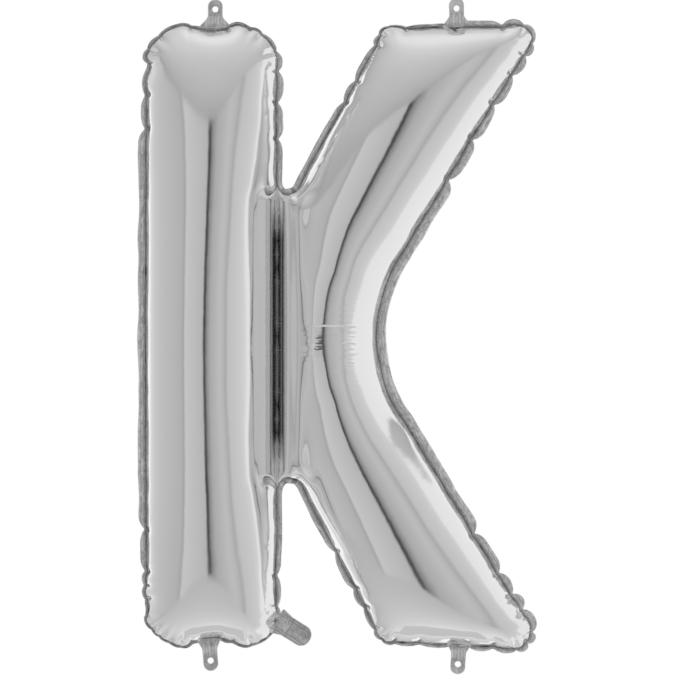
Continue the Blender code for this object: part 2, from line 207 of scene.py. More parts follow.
class Pattern:
    """The flat sheets: points, triangles, the weld ring, the outer edge and the tie between the notches."""

    def __init__(self, corners, steps, step):
        weld, fillets = outline(corners, 0.0, steps)
        edge, _ = outline(corners, MARGIN, steps)
        count = len(weld)
        top, foot = fillets[UPPER_NOTCH][0], fillets[LOWER_NOTCH][1]
        ends = np.array([weld[top], weld[foot]])
        pieces = round(np.linalg.norm(ends[1] - ends[0]) / step)
        tie = [ends[0] + (ends[1] - ends[0]) * k / pieces for k in range(1, pieces)]
        low, high = edge.min(0), edge.max(0)
        rows = np.arange(low[1], high[1], step * math.sqrt(3) / 2)
        grid = np.array([(x + (k % 2) * step / 2, z) for k, z in enumerate(rows)
                         for x in np.arange(low[0], high[0], step)])
        grid = grid[inside(grid, weld)]
        clear = np.minimum(distance_to(grid, weld), distance_to(grid, ends, False))
        grid = grid[clear > 0.6 * step]
        points = np.concatenate([weld, edge, tie, grid])
        chain = [top] + list(range(2 * count, 2 * count + pieces - 1)) + [foot]
        kept = [(i, (i + 1) % count) for i in range(count)]
        kept += [(i + count, j + count) for i, j in kept]
        kept += list(zip(chain, chain[1:]))
        self.points, self.faces, source = triangulate(points, kept, list(range(count, 2 * count)))
        place = np.empty(len(points), int)
        place[[s[0] for s in source]] = np.arange(len(source))
        self.is_margin = ~inside(self.points[self.faces].mean(1), weld)
        p = self.points[self.faces]
        u, v = p[:, 1] - p[:, 0], p[:, 2] - p[:, 0]
        wrong = u[:, 0] * v[:, 1] < u[:, 1] * v[:, 0]
        self.faces[wrong] = self.faces[wrong][:, ::-1]
        self.ring, self.edge, self.tie = place[:count], place[count:2 * count], place[chain]

    def split(self):
        """Each triangle in four; returns the two parents of each new point."""
        sides = np.sort(triangle_sides(self.faces), 1)
        parents, which = np.unique(sides, axis=0, return_inverse=True)
        old = len(self.points)
        self.faces = in_four(self.faces, old + which.reshape(-1))
        self.is_margin = np.tile(self.is_margin, 4)
        self.points = np.concatenate([self.points, self.points[parents].mean(1)])
        number = {tuple(pair): old + k for k, pair in enumerate(parents.tolist())}

        def longer(line, closed):
            result = []
            for i, j in zip(line.tolist(), np.roll(line, -1).tolist()):
                result += [i, number.get((min(i, j), max(i, j)), -1)]
            return np.array(result if closed else result[:-1])

        self.ring, self.edge = longer(self.ring, True), longer(self.edge, True)
        self.tie = longer(self.tie, False)
        for loop in (self.ring, self.edge):
            p = self.points[loop[0::2]]
            rounded = (9 * (p + np.roll(p, -1, 0)) - np.roll(p, 1, 0) - np.roll(p, -2, 0)) / 16
            self.points[loop[1::2]] = rounded
        return parents

    def stretch(self, shift):
        """Move the ring and the outer edge by shift, and what lies between them smoothly with it."""
        count, sides = len(self.points), unique_sides(self.faces)
        i, j = sides.T
        degree = np.bincount(sides.ravel(), minlength=count)[:, None]
        fixed = np.concatenate([self.ring, self.edge])

        def tension(u):
            result = degree * u - (sums_at(i, u[j], count) + sums_at(j, u[i], count))
            result[fixed] = 0
            return result

        move = np.zeros((count, 2))
        move[self.ring] = move[self.edge] = shift
        rest = -tension(move)
        along = rest / degree
        size = (rest * along).sum(0)
        for _ in range(SOLVER_ROUNDS):
            step = tension(along)
            share = size / np.maximum((along * step).sum(0), 1e-30)
            move += share * along
            rest -= share * step
            new_size = (rest * rest / degree).sum(0)
            along = rest / degree + new_size / np.maximum(size, 1e-30) * along
            size = new_size
        self.points = self.points + move


def colour_sides(sides, count):
    """Groups of sides in which no two share a point."""
    used = [0] * count
    colour = np.empty(len(sides), int)
    for k, (i, j) in enumerate(sides.tolist()):
        free = ~(used[i] | used[j])
        bit = free & -free
        used[i] |= bit
        used[j] |= bit
        colour[k] = bit.bit_length() - 1
    return [np.nonzero(colour == c)[0] for c in range(colour.max() + 1)]


def cross2(u, v):
    return u[:, 0] * v[:, 1] - u[:, 1] * v[:, 0]


# Area per point of an even net, in squares of its side
NET_AREA = 0.866
# A hinge whose weights pass this lies on a sliver and is left out
SLIVER = 1.6
# Steps between two readings of the pressure's direction, and between two corrections of the seam
FORCE_EVERY = 3
GUIDE_EVERY = 10
# Shares by which the tie, the seam's plane and the margin's reach are corrected
TIE_PULL = 0.3
GUIDE_SHARE = 0.5


class Balloon:
    """Two sheets welded along the ring and the tie, with one doubled margin outside the ring."""

    def __init__(self, pattern):
        self.pattern = pattern
        flat_count = len(pattern.points)
        sheet = pattern.faces[~pattern.is_margin]
        self.free = np.setdiff1d(np.unique(sheet), np.concatenate([pattern.ring, pattern.tie]))
        self.back = np.arange(flat_count)
        self.back[self.free] = flat_count + np.arange(len(self.free))
        self.front_faces = sheet
        self.back_faces = self.back[sheet][:, ::-1]
        self.margin_faces = pattern.faces[pattern.is_margin]
        self.skin = np.concatenate([self.front_faces, self.back_faces])
        self.count = flat_count + len(self.free)
        self.sides = unique_sides(np.concatenate([self.skin, self.margin_faces]))
        self.groups = colour_sides(self.sides, self.count)
        hinges, weights = [], []
        for faces, weight in ((self.front_faces, 1.0), (self.back_faces, 1.0), (self.margin_faces, 2.0)):
            side = np.sort(triangle_sides(faces), 1)
            tip = np.concatenate([faces[:, 2], faces[:, 0], faces[:, 1]])
            order = np.lexsort((side[:, 1], side[:, 0]))
            side, tip = side[order], tip[order]
            pair = np.nonzero(np.all(side[1:] == side[:-1], 1))[0]
            hinges.append(np.stack([side[pair, 0], side[pair, 1], tip[pair], tip[pair + 1]], 1))
            weights.append(np.full(len(pair), weight))
        self.hinges, self.hinge_weight = np.concatenate(hinges), np.concatenate(weights)
        self.measure()

    def measure(self):
        """Rest lengths and hinge weights from the flat pattern."""
        flat = self.pattern.points
        rest = np.concatenate([flat, flat[self.free]])
        run = rest[self.sides[:, 0]] - rest[self.sides[:, 1]]
        self.length = np.linalg.norm(run, axis=1)
        from_tie = distance_to(rest[self.sides].mean(1), flat[self.pattern.tie[[0, -1]]], False)
        near = np.exp(-(from_tie / TIE_REACH) ** 2)
        self.length *= 1 - TIE_SHRINK * near * (run[:, 1] / self.length) ** 2
        self.springs = [(self.sides[g, 0].copy(), self.sides[g, 1].copy(), self.length[g])
                        for g in self.groups]
        i, j, a, b = (rest[self.hinges[:, k]] for k in range(4))
        t = cross2(a - i, b - a) / cross2(j - i, b - a)
        s = cross2(i - a, j - i) / cross2(b - a, j - i)
        weight = np.stack([1 - t, t, s - 1, -s], 1)
        flat_enough = np.abs(weight).max(1) < SLIVER
        self.hinge_sum = weight
        self.hinge_move = weight / (weight ** 2).sum(1)[:, None] * (self.hinge_weight * flat_enough)[:, None]

    def start(self, lift):
        flat = self.pattern.points
        x = np.zeros((self.count, 3))
        x[:len(flat), [0, 2]] = flat
        x[len(flat):, [0, 2]] = flat[self.free]
        room = np.sqrt(distance_to(flat[self.free], flat[self.pattern.ring]))
        x[self.free, 1] = -lift * room
        x[self.back[self.free], 1] = lift * room
        return x

    def area_normals(self, x):
        f = self.skin
        normal = np.cross(x[f[:, 1]] - x[f[:, 0]], x[f[:, 2]] - x[f[:, 0]]) / 6
        return sums_at(f.ravel(), np.repeat(normal, 3, 0), self.count)

    def run(self, x, v, steps, pressure, damping, give, stiffness, hold):
        """Position-based steps: pressure, then springs that resist stretch fully and squeeze by give."""
        push = pressure / (self.length.mean() ** 2 * NET_AREA)
        force = None
        for step in range(steps):
            if step % FORCE_EVERY == 0:
                force = self.area_normals(x) * push
            v = v * damping + force
            before = x.copy()
            x = x + v
            for i, j, rest in (self.springs if step % 2 else self.springs[::-1]):
                d = x[j] - x[i]
                length = np.sqrt(np.einsum("ij,ij->i", d, d))
                gain = (length - rest) / length * 0.5
                gain[gain < 0] *= give
                d *= gain[:, None]
                x[i] += d
                x[j] -= d
            bent = (x[self.hinges] * self.hinge_sum[..., None]).sum(1)
            move = (self.hinge_move * stiffness)[..., None] * bent[:, None]
            for k in range(3):
                x[:, k] -= np.bincount(self.hinges.ravel(), move[..., k].ravel(), self.count)
            x[self.pattern.tie] += TIE_PULL * (self.tie_line - x[self.pattern.tie])
            x[self.stem_side, 0] = np.minimum(x[self.stem_side, 0], self.tie_line[0, 0] - TOUCH)
            x[self.arm_side, 0] = np.maximum(x[self.arm_side, 0], self.tie_line[0, 0] + TOUCH)
            v = x - before
            if step % GUIDE_EVERY == GUIDE_EVERY - 1:
                self.guide(x, hold)
        return x, v

    def aim(self, steps, smooth_width):
        """Where the weld ring, the outer edge and the straight tie go in the filled letter."""
        weld, fillets = outline(WELD, 0.0, steps)
        edge, _ = outline(WELD, MARGIN, steps)
        self.ring_goal = np.insert(weld, 1, 0.0, 1)
        self.margin_reach = np.insert(edge, 1, 0.0, 1) - self.ring_goal
        self.smooth_width = smooth_width
        top, foot = self.ring_goal[fillets[UPPER_NOTCH][0]], self.ring_goal[fillets[LOWER_NOTCH][1]]
        t = np.linspace(0, 1, len(self.pattern.tie))[:, None]
        self.tie_line = top * (1 - t) + foot * t
        flat = self.pattern.points
        high, low = flat[self.pattern.tie[0]], flat[self.pattern.tie[-1]]
        between = self.free[(flat[self.free, 1] < high[1]) & (flat[self.free, 1] > low[1])]
        side = cross2(np.tile(high - low, (len(between), 1)), flat[between] - low)
        self.stem_side = np.concatenate([between[side > 0], self.back[between[side > 0]]])
        self.arm_side = np.concatenate([between[side < 0], self.back[between[side < 0]]])

    def astray(self, x):
        """How far the ring lies from its goal, with the scallops smoothed out."""
        return smooth_loop(self.ring_goal - x[self.pattern.ring], self.smooth_width)

    def guide(self, x, hold):
        """Keep the seam in its plane and the margin straight out of it, and hold the ring to its goal."""
        shift = self.astray(x) * [hold, GUIDE_SHARE, hold]
        x[self.pattern.ring] += shift
        x[self.pattern.edge] += shift
        reach = x[self.pattern.edge] - x[self.pattern.ring]
        x[self.pattern.edge] += GUIDE_SHARE * smooth_loop(self.margin_reach - reach, self.smooth_width)

    def recut(self, x, share):
        """Move the flat pattern's outline by a share of what the filled ring lacks."""
        self.pattern.stretch(share * self.astray(x)[:, [0, 2]])
        self.measure()


def smooth_loop(values, width):
    """A closed row of values, smoothed by a bell curve of that many points."""
    count = len(values)
    k = np.arange(count)
    bell = np.exp(-0.5 * (np.minimum(k, count - k) / width) ** 2)
    bell /= bell.sum()
    return np.real(np.fft.ifft(np.fft.fft(values, axis=0) * np.fft.fft(bell)[:, None], axis=0))


# Pressure's push on a point of the first net at each step, and how many points wide a scallop is
PRESSURE = 4.5e-5
SCALLOP = 1.6
# The flat cut is corrected this many times, each time by this share of what the outline lacks
RECUTS = 14
RECUT_SHARE = 0.4


def inflate(levels):
    """Fill the first net while its flat cut is corrected, then split it and let each finer net settle."""
    steps = run_counts(FLAT, COARSE)
    pattern = Pattern(FLAT, steps, COARSE)
    balloon = Balloon(pattern)
    balloon.aim(steps, SCALLOP)
    rng = np.random.default_rng(1)
    x = balloon.start(0.02) + rng.normal(0, 1e-4, (balloon.count, 3))
    v = np.zeros_like(x)
    x, v = balloon.run(x, v, 150, PRESSURE, 0.985, 0.3, 0.05, 0.0)
    for _ in range(RECUTS):
        balloon.recut(x, RECUT_SHARE)
        x, v = balloon.run(x, v, 60, PRESSURE, 0.97, 0.3, 0.05, 0.0)
    x -= x.mean(0) * [0, 1, 0]
    for level in range(1, levels + 1):
        old, back = len(pattern.points), balloon.back
        parents = pattern.split()
        front = np.concatenate([x[:old], x[parents].mean(1)])
        rear = np.concatenate([x[back], x[back[parents]].mean(1)])
        balloon = Balloon(pattern)
        steps = ([2 * n for n in steps[0]], [2 * n for n in steps[1]])
        balloon.aim(steps, SCALLOP * 2 ** level)
        x = np.empty((balloon.count, 3))
        x[:len(front)] = front
        x[balloon.back[balloon.free]] = rear[balloon.free]
        x += rng.normal(0, 2e-5, x.shape)
        v = np.zeros_like(x)
        give, stiffness = 0.3 + 0.1 * level, 0.05 + 0.025 * level
        x, v = balloon.run(x, v, 120, PRESSURE / 4 ** level, 0.98, give, stiffness, 0.3)
        x -= x.mean(0) * [0, 1, 0]
    return balloon, x


# Finishing the filled shape: even folds, a finer net and puckers at the seam

# The centre of the arms' bend. The foil between these two angles in degrees, above and below, gives the even
# fold, which fades into the rest over the angles and the distances after them.
BEND = (0.323, -0.002)
BEND_KEPT = 11.0
BEND_END = 25.0
BEND_FADE = (12.0, 22.0)
BEND_REACH_FADE = (0.315, 0.34)
# The grid of heights round the bend: degrees either way, and its distances from the centre
BEND_TURN = 40
BEND_NEAR, BEND_FAR, BEND_STEP = 0.19, 0.35, 0.0025
# The grid of heights along the crease: half its width, its step along and its columns to each side
CREASE_HALF = 0.06
CREASE_STEP = 0.002
CREASE_COLUMNS = 60
# Heights this close to the crease's ends aren't used, and its even part fades out over these distances
CREASE_ENDS = 0.045
CREASE_END_FADE = (0.002, 0.016)
CREASE_SIDE_FADE = (0.030, 0.055)
# The foil round the notches is smoothed, fading out over these distances from a point this far to the right
NOTCH_FADE = (0.022, 0.055)
NOTCH_RIGHT = 0.015
# The cusp at the bottom of the crease: where the foil beside it is read, and where the cusp fades out
CUSP_INNER, CUSP_OUTER = 0.022, 0.040
CUSP_SIDE_FADE = (0.018, 0.034)
CUSP_END_FADE = (0.0, 0.022)


def fade(value, start, end):
    """1 before start, 0 after end, with a soft step between."""
    t = np.clip((value - start) / (end - start), 0, 1)
    return 1 - t * t * (3 - 2 * t)


def height_grid(skin, side, rows, columns, place):
    """The foil's height over the seam plane at the places of a grid."""
    grid = np.zeros((len(rows), len(columns)))
    for i, row in enumerate(rows):
        for j, column in enumerate(columns):
            px, pz = place(row, column)
            hit = skin.ray_cast((px, side * 0.3, pz), (0, -side, 0))[0]
            grid[i, j] = 0.0 if hit is None else hit.y * side
    return grid


def blur_rows(grid, width, weight):
    k = np.arange(len(grid))
    bell = np.exp(-0.5 * ((k[:, None] - k) / width) ** 2) * weight
    return bell @ grid / bell.sum(1)[:, None]


def read_grid(grid, row, column):
    row = np.clip(row, 0, grid.shape[0] - 1.001)
    column = np.clip(column, 0, grid.shape[1] - 1.001)
    i, j = row.astype(int), column.astype(int)
    a, b = row - i, column - j
    near = grid[i, j] * (1 - b) + grid[i, j + 1] * b
    far = grid[i + 1, j] * (1 - b) + grid[i + 1, j + 1] * b
    return near * (1 - a) + far * a


def relax(points, faces, share, rounds):
    """Each point some way towards the mean of its neighbours, by its own share."""
    sides = unique_sides(faces)
    ends = np.concatenate([sides[:, 0], sides[:, 1]])
    others = np.concatenate([sides[:, 1], sides[:, 0]])
    degree = np.maximum(np.bincount(ends, minlength=len(points)), 1)[:, None]
    for _ in range(rounds):
        mean = sums_at(ends, points[others], len(points)) / degree
        points = points + share[:, None] * (mean - points)
    return points


def round_bend(x):
    """Each point's distance from the centre of the arms' bend, and its direction in degrees."""
    away = x[:, [0, 2]] - np.array(BEND)
    return np.linalg.norm(away, axis=1), np.degrees(np.arctan2(away[:, 1], -away[:, 0]))


def even_folds(balloon, x):
    """Even out the crease beside the stem along its length, and the arms' fold around their bend."""
    tie_x = balloon.tie_line[0, 0]
    top, foot = balloon.tie_line[0, 2], balloon.tie_line[-1, 2]
    x = x.copy()
    for side, faces, members in ((-1, balloon.front_faces, balloon.free),
                                 (1, balloon.back_faces, balloon.back[balloon.free])):
        loose = np.zeros(len(x))
        loose[members] = 1.0
        skin = ray_tree(x, faces)
        turns = np.arange(-BEND_TURN, BEND_TURN + 0.5, 1.0)
        reaches = np.arange(BEND_NEAR, BEND_FAR + 0.0001, BEND_STEP)
        grid = height_grid(skin, side, turns, reaches, lambda turn, reach: (
            BEND[0] - reach * math.cos(math.radians(turn)), BEND[1] + reach * math.sin(math.radians(turn))))
        grid = blur_rows(grid, 7.0, ((np.abs(turns) > BEND_KEPT) & (np.abs(turns) < BEND_END)) * 1.0)
        reach, turn = round_bend(x)
        mask = fade(np.abs(turn), *BEND_FADE) * fade(reach, *BEND_REACH_FADE) * loose
        x = relax(x, faces, 0.5 * mask, 20)
        reach, turn = round_bend(x)
        goal = side * read_grid(grid, turn + BEND_TURN, (reach - BEND_NEAR) / BEND_STEP)
        x[:, 1] += mask * (goal - x[:, 1])

        skin = ray_tree(x, faces)
        rows = np.arange(foot, top, CREASE_STEP)
        columns = np.linspace(-1, 1, 2 * CREASE_COLUMNS + 1)
        grid = height_grid(skin, side, rows, columns, lambda row, column: (
            tie_x + column * abs(column) * CREASE_HALF, row))
        from_end = np.minimum(top - rows, rows - foot)
        grid = blur_rows(grid, 60.0, (from_end > CREASE_ENDS) * 1.0)
        from_end = np.minimum(top - x[:, 2], x[:, 2] - foot)
        mask = (1 - fade(from_end, *CREASE_END_FADE)) * loose
        mask = mask * fade(np.abs(x[:, 0] - tie_x), *CREASE_SIDE_FADE)
        x = relax(x, faces, 0.5 * mask, 30)
        column = (x[:, 0] - tie_x) / CREASE_HALF
        column = np.sign(column) * np.sqrt(np.abs(np.clip(column, -1, 1)))
        goal = side * read_grid(grid, (x[:, 2] - foot) / CREASE_STEP, (column + 1) * CREASE_COLUMNS)
        x[:, 1] += mask * (goal - x[:, 1])

        from_end = np.minimum(np.linalg.norm(x[:, [0, 2]] - [tie_x + NOTCH_RIGHT, top], axis=1),
                              np.linalg.norm(x[:, [0, 2]] - [tie_x + NOTCH_RIGHT, foot], axis=1))
        x = relax(x, faces, 0.12 * loose, 14)
        x = relax(x, faces, 0.5 * fade(from_end, *NOTCH_FADE) * loose, 30)
    return x


def deepen_crease(points, faces, tie, side):
    """Give the crease the cusp of two rounds that touch, as a power curve through the foil beside it."""
    x, top, foot = tie[0, 0], tie[0, 2], tie[-1, 2]
    skin = ray_tree(points, faces)
    from_end = np.minimum(top - points[:, 2], points[:, 2] - foot)
    off = points[:, 0] - x
    mask = (1 - fade(from_end, *CUSP_END_FADE)) * fade(np.abs(off), *CUSP_SIDE_FADE)
    rows = np.linspace(foot + 0.06, top - 0.06, 24)
    for towards in (-1, 1):
        inner, outer = (np.mean(height_grid(skin, side, rows, [reach], lambda row, column: (
            x + towards * column, row))) * side for reach in (CUSP_INNER, CUSP_OUTER))
        power = math.log(outer / inner) / math.log(CUSP_OUTER / CUSP_INNER)
        goal = inner * (np.abs(off) / CUSP_INNER) ** power
        here = off * towards > 0
        points[here, 1] += (mask * (goal - points[:, 1]))[here]
    return points


def subdivide(points, faces, fixed_lines, extra):
    """One round of smooth subdivision; open edges and fixed lines stay sharp, and extra values go along."""
    side = triangle_sides(faces)
    tip = np.concatenate([faces[:, 2], faces[:, 0], faces[:, 1]])
    sides, which, uses = np.unique(np.sort(side, 1), axis=0, return_inverse=True, return_counts=True)
    which = which.reshape(-1)
    count = len(points)
    lines = {tuple(sorted(pair)) for line in fixed_lines
             for pair in zip(line[:-1].tolist(), line[1:].tolist())}
    sharp = (uses == 1) | np.array([tuple(pair) in lines for pair in sides.tolist()])
    tips = sums_at(which, points[tip], len(sides))
    middle = points[sides].mean(1)
    soft = 0.375 * points[sides].sum(1) + 0.125 * tips
    new = np.where(sharp[:, None], middle, soft)

    def around(chosen):
        ends = np.concatenate([sides[chosen, 0], sides[chosen, 1]])
        others = np.concatenate([sides[chosen, 1], sides[chosen, 0]])
        return sums_at(ends, points[others], count), np.bincount(ends, minlength=count)

    total, degree = around(np.ones(len(sides), bool))
    edge_total, edge_degree = around(sharp)
    beta = np.where(degree > 3, 0.375 / np.maximum(degree, 1), 0.1875)[:, None]
    moved = (1 - degree[:, None] * beta) * points + beta * total
    moved = np.where((edge_degree == 2)[:, None], 0.75 * points + 0.125 * edge_total, moved)
    moved = np.where(((edge_degree > 2) | (edge_degree == 1) | (degree == 0))[:, None], points, moved)
    number = {tuple(pair): count + k for k, pair in enumerate(sides.tolist())}
    extra = np.concatenate([extra, extra[sides].mean(1)])
    return np.concatenate([moved, new]), in_four(faces, count + which), extra, number


def finer_line(line, number):
    result = []
    for i, j in zip(line[:-1].tolist(), line[1:].tolist()):
        result += [i, number[(min(i, j), max(i, j))]]
    return np.array(result + [line[-1]])


# Where the seam is pinched together, clockwise from the stem's foot: pixel in the photograph, and how far
# in mm the margin stands out between this pinch and the next one
PINCHES = [
    (147, 616, 4), (142, 600, 5), (142, 585, 6), (141, 571, 9), (140, 530, 11), (144, 128, 8), (142, 95, 6),
    (146, 64, 5), (145, 47, 5), (159, 37, 4), (190, 31, 5), (228, 31, 4), (250, 32, 4), (260, 36, 5),
    (272, 53, 9), (281, 71, 10), (279, 103, 11), (279, 140, 8), (343, 101, 7), (359, 83, 7), (376, 46, 6),
    (374, 32, 3), (389, 33, 3), (405, 32, 5), (455, 25, 10), (502, 24, 9), (523, 27, 8), (531, 43, 8),
    (525, 55, 10), (512, 76, 11), (493, 104, 12), (472, 139, 12), (448, 180, 14), (475, 533, 12),
    (498, 573, 11), (513, 593, 12), (523, 609, 12), (533, 632, 9), (528, 644, 8), (516, 649, 7),
    (493, 651, 7), (468, 651, 5), (451, 647, 5), (419, 644, 5),
    (394, 642, 4), (382, 640, 5), (370, 632, 6), (362, 609, 7), (353, 589, 8), (335, 553, 8), (282, 575, 8),
    (282, 606, 6), (279, 625, 3), (249, 638, 3), (231, 644, 5), (218, 646, 5), (193, 645, 4), (181, 642, 3),
    (171, 639, 3), (162, 634, 3), (153, 628, 3),
]
# A leaf swells to its full reach over the first length, and takes on its neighbour's over the second
LEAF_HALF = 0.020
LEAF_BLEND = 0.012
# The margin's reach at a pinch, and how far the weld is drawn in there
PINCH_REACH = 0.0035
RING_DIP = 0.0020
RING_DIP_REACH = 0.012
# The valley that runs in from each pinch: its depth, and how far in it is deepest
VALLEY_DEPTH = 0.0019
VALLEY_AT = 0.008
# How unevenly a leaf of the margin lies, its curl, and the length from which it curls fully
MARGIN_CRUMPLE = 0.0009
LEAF_CURL = 0.0012
CURL_LENGTH = 0.03
# Points of the margin between two of the ring, and its rows across
MARGIN_TIMES = 3
MARGIN_ROWS = 7


def lengths_along(loop):
    steps = np.linalg.norm(np.roll(loop, -1, 0) - loop, axis=1)
    return np.concatenate([[0.0], np.cumsum(steps)])


def outward(loop):
    """Directions in the seam plane out of a clockwise loop of (x, z)."""
    run = smooth_loop(np.roll(loop, -1, 0) - np.roll(loop, 1, 0), 1.5)
    run /= np.linalg.norm(run, axis=1)[:, None]
    return np.stack([-run[:, 1], run[:, 0]], 1)


class Seam:
    """The weld ring with its places along it, its pinches and how far the margin stands out."""

    def __init__(self, ring_points):
        plan = ring_points[:, [0, 2]]
        self.along = lengths_along(plan)
        self.total = self.along[-1]
        self.out = outward(plan)
        places = []
        for px, py, reach in PINCHES:
            x, _, z = at_pixel(px, py)
            k = np.argmin(((plan - (x, z)) ** 2).sum(1))
            places.append((self.along[k], reach / 1000))
        places.sort()
        self.pinch = np.array([p[0] for p in places])
        self.leaf = np.array([p[1] for p in places])
        self.lengths = np.diff(np.append(self.pinch, self.pinch[0] + self.total))

    def from_pinch(self, along):
        """For places along the ring: which leaf they are on, and how far the nearest pinch is."""
        k = (np.searchsorted(self.pinch, along, "right") - 1) % len(self.pinch)
        past = (along - self.pinch[k]) % self.total
        return k, np.minimum(past, self.lengths[k] - past)

    def swell(self, along):
        """0 at a pinch, 1 in the middle of a leaf."""
        k, away = self.from_pinch(along)
        half = np.minimum(self.lengths[k] / 2, LEAF_HALF)
        return np.sin(np.clip(away / half, 0, 1) * math.pi / 2) ** 0.75

    def reach(self, along):
        """How far the margin stands out."""
        k, away = self.from_pinch(along)
        blend = fade(away, 0.0, LEAF_BLEND)
        ahead = (along - self.pinch[k]) % self.total < self.lengths[k] / 2
        other = np.where(ahead, (k - 1) % len(self.leaf), (k + 1) % len(self.leaf))
        full = self.leaf[k] + 0.5 * blend * (self.leaf[other] - self.leaf[k])
        return PINCH_REACH + (full - PINCH_REACH) * self.swell(along)


def nearest_places(flat, ring):
    """For each flat point the number of the nearest ring point and the distance to it."""
    tree = KDTree(len(ring))
    for k, p in enumerate(flat[ring]):
        tree.insert((p[0], p[1], 0.0), k)
    tree.balance()
    found = [tree.find((p[0], p[1], 0.0)) for p in flat]
    return np.array([f[1] for f in found]), np.array([f[2] for f in found])


def point_normals(points, faces):
    cross = np.cross(points[faces[:, 1]] - points[faces[:, 0]], points[faces[:, 2]] - points[faces[:, 0]])
    normal = sums_at(faces.ravel(), np.repeat(cross, 3, 0), len(points))
    return normal / np.maximum(np.linalg.norm(normal, axis=1), 1e-12)[:, None]


def pucker(points, faces, near, away, seam, side):
    """Draw the foil in at the pinches, with a valley running in from each."""
    along = seam.along[near]
    normal = point_normals(points, faces) * side
    out = seam.out[near]
    dip = RING_DIP * (1 - seam.swell(along)) * np.exp(-away / RING_DIP_REACH)
    _, from_pinch = seam.from_pinch(along)
    width = 0.0022 + 0.25 * away
    valley = np.exp(-(from_pinch / width) ** 2) * away / VALLEY_AT * np.exp(1 - away / VALLEY_AT)
    moved = points - normal * (VALLEY_DEPTH * valley)[:, None]
    moved[:, [0, 2]] -= out * dip[:, None]
    return moved


def loop_between(values, times):
    """A closed row of points with times - 1 new ones between each pair, on a smooth curve."""
    before, after, further = np.roll(values, 1, 0), np.roll(values, -1, 0), np.roll(values, -2, 0)
    rows = []
    for k in range(times):
        t = k / times
        rows.append(0.5 * (2 * values + (after - before) * t
                           + (2 * before - 5 * values + 4 * after - further) * t ** 2
                           + (3 * values - before - 3 * after + further) * t ** 3))
    return np.stack(rows, 1).reshape(-1, values.shape[1])


def crumple(count, rows, width, rng):
    """Uneven values for a strip, smooth over width stations."""
    field = smooth_loop(rng.normal(0, 1, (count, rows)), width)
    return field / field.std()


def margin_strip(ring_points, seam, rng):
    """The welded margin beyond the ring: leaves between the pinches, curled and crumpled."""
    line = loop_between(ring_points, MARGIN_TIMES)
    count, rows = len(line), MARGIN_ROWS
    plan = line[:, [0, 2]]
    along = np.interp(np.arange(count) / MARGIN_TIMES, np.arange(len(seam.along)), seam.along)
    out = smooth_loop(outward(plan), 1.5 * MARGIN_TIMES)
    out /= np.linalg.norm(out, axis=1)[:, None]
    reach = seam.reach(along) * (1 + 0.05 * crumple(count, 1, 5 * MARGIN_TIMES, rng)[:, 0])
    swell = seam.swell(along)
    leaf, _ = seam.from_pinch(along)
    curl = rng.uniform(-1, 1, len(seam.pinch))[leaf] * np.minimum(seam.lengths[leaf] / CURL_LENGTH, 1)
    coarse = crumple(count, 3, 2.2 * MARGIN_TIMES, rng)
    fine = crumple(count, rows, 0.9 * MARGIN_TIMES, rng)
    points = [line]
    for j in range(1, rows + 1):
        t = j / rows
        p = np.zeros((count, 3))
        p[:, [0, 2]] = smooth_loop(plan + out * (reach * t)[:, None], 0.1 + 0.7 * MARGIN_TIMES * t)
        bend = coarse[:, 0] * t + coarse[:, 1] * math.sin(math.pi * t)
        bend = bend + coarse[:, 2] * math.sin(2 * math.pi * t) * 0.5
        p[:, 1] = line[:, 1] + LEAF_CURL * curl * swell * t ** 2 + MARGIN_CRUMPLE * bend * (0.4 + 0.6 * swell)
        p[:, 1] += 0.25 * MARGIN_CRUMPLE * fine[:, j - 1]
        points.append(p)
    k = np.arange(count)
    faces = []
    for j in range(rows):
        a, b = j * count + k, j * count + (k + 1) % count
        faces += [np.stack([a, b, a + count], 1), np.stack([b, b + count, a + count], 1)]
    across = np.repeat(np.arange(rows + 1) / rows, count) * np.tile(reach, rows + 1)
    places = np.stack([np.tile(along, rows + 1), across], 1)
    return np.concatenate(points), np.concatenate(faces), places


def finish_shape(balloon, x):
    """The finished front, back and margin, each as points, triangles and places at the seam."""
    pattern, sheet = balloon.pattern, balloon.front_faces
    x = even_folds(balloon, x)
    rng = np.random.default_rng(5)
    lines = [np.append(pattern.ring, pattern.ring[0]), pattern.tie]
    panels = []
    for number, side in ((np.arange(len(pattern.points)), -1), (balloon.back, 1)):
        points, finer_sheet, flat, finer = subdivide(x[number], sheet, lines, pattern.points)
        panels.append(deepen_crease(points, finer_sheet, balloon.tie_line, side))
    ring = finer_line(lines[0], finer)[:-1]
    seam = Seam(panels[0][ring])
    near, away = nearest_places(flat, ring)
    front, back = (pucker(points, finer_sheet, near, away, seam, side)
                   for points, side in zip(panels, (1, -1)))
    back[ring] = front[ring]
    places = np.stack([seam.along[near], away], 1)
    margin = margin_strip(front[ring], seam, rng)
    return (front, finer_sheet, places), (back, finer_sheet[:, ::-1], places), margin


# Materials

FOIL_COLOUR = (0.90, 0.90, 0.905)
# How far from the weld the gathers fade out, and how high gathers and unevenness stand in the bump
GATHER_REACH = 0.007
GATHER_HEIGHT = 11.0
UNEVEN_HEIGHT = 0.6
FOIL_BUMP = 0.00035
# The thin crease across the arms' bend, as middle and width in x and in z, and its height in the bump
BEND_LINE = ((0.055, 0.048), (0.0155, 0.0009))
BEND_LINE_HEIGHT = 2.2
# Patches of fine wrinkles below it, in the same way
WRINKLE_PATCHES = [((0.024, 0.009), (-0.014, 0.026)), ((0.080, 0.016), (-0.010, 0.050))]
WRINKLE_HEIGHT = 12.0
